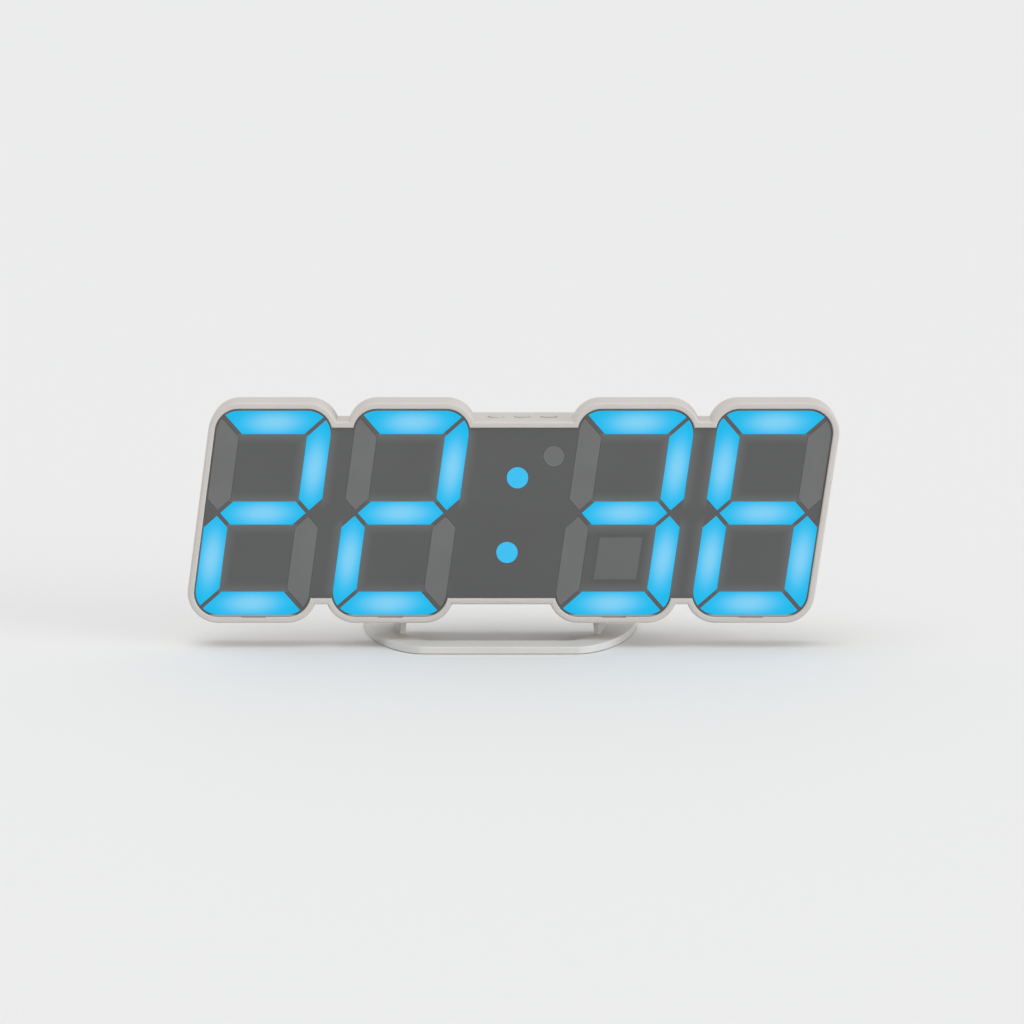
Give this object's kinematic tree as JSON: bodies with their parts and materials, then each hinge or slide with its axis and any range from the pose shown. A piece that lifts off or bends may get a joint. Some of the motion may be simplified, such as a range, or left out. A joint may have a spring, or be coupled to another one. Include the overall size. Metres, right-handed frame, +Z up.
{
  "type": "led wall clock",
  "caption": "LED clock for wall or desk: slanted segment-digit bays in a pale frame, smoked front panel, rear housing with push buttons on top, and a plug-in U-shaped foot.",
  "frame": {"origin": "centre of the bounding box on the floor, under the standing clock", "axes": "+X to the right along the face, +Y from the face to the back, +Z up; the clock stands on its foot"},
  "size_m": [0.2462, 0.064, 0.0941],
  "materials": {
    "case_plastic": "satin moulded plastic with soft edges",
    "button_plastic": "satin moulded plastic",
    "foot_plastic": "satin moulded plastic",
    "smoked_panel": "smoked grey, smooth satin",
    "bar_lit": "frosted light bar, glowing cyan",
    "bar_dark": "frosted light bar, unlit",
    "reflector_white": "matt white reflector",
    "circuit_board": "solder mask over glass-fibre board",
    "lamp_chip": "small moulded lamp",
    "chip_black": "black moulding compound",
    "plunger_plastic": "plain moulded plastic",
    "screw_steel": "zinc plated",
    "bright_metal": "bright plated metal",
    "pad_rubber": "matt rubber"
  },
  "bodies": {
    "case": {"front_bezel": "case_plastic", "rear_shell": "case_plastic", "front_panel": "smoked_panel", "digit_1_lit": "bar_lit", "digit_2_lit": "bar_lit", "digit_3_lit": "bar_lit", "digit_4_lit": "bar_lit", "colon_dots": "bar_lit", "digit_1_dark": "bar_dark", "digit_2_dark": "bar_dark", "digit_3_dark": "bar_dark", "digit_4_dark": "bar_dark", "degree_dot": "bar_dark", "sensor_tile": "bar_dark", "light_box": "reflector_white", "display_board": "circuit_board", "control_board": "circuit_board", "lamps": "lamp_chip", "driver_chips": "chip_black", "ir_receiver": "chip_black", "controller_chip": "chip_black", "board_link": "chip_black", "buzzer": "chip_black", "power_socket": "chip_black", "switch_bodies": "chip_black", "coin_holder": "chip_black", "thermistor": "chip_black", "case_screws": "screw_steel", "board_screws": "screw_steel", "coin_cell": "bright_metal", "clock_crystal": "bright_metal", "socket_pin": "bright_metal"},
    "set_button": {"set_button": "button_plastic", "set_plunger": "plunger_plastic"},
    "up_button": {"up_button": "button_plastic", "up_plunger": "plunger_plastic"},
    "down_button": {"down_button": "button_plastic", "down_plunger": "plunger_plastic"},
    "foot": {"foot_stand": "foot_plastic", "foot_pads": "pad_rubber"},
    "battery_lid": {"battery_lid": "case_plastic"}
  },
  "joints": [
    {"name": "set_button_press", "type": "slide", "parent": "case", "child": "set_button", "axis": [0, 0, -1], "range_m": [0, 0.0004], "stiffness_N_per_m": 400},
    {"name": "up_button_press", "type": "slide", "parent": "case", "child": "up_button", "axis": [0, 0, -1], "range_m": [0, 0.0004], "stiffness_N_per_m": 400},
    {"name": "down_button_press", "type": "slide", "parent": "case", "child": "down_button", "axis": [0, 0, -1], "range_m": [0, 0.0004], "stiffness_N_per_m": 400},
    {"name": "foot_unplug", "type": "slide", "parent": "foot", "child": "case", "axis": [0, 0, 1], "range_m": [0, 0.012]},
    {"name": "battery_lid_lift", "type": "slide", "parent": "case", "child": "battery_lid", "axis": [0, 1, 0], "range_m": [0, 0.012]}
  ]
}
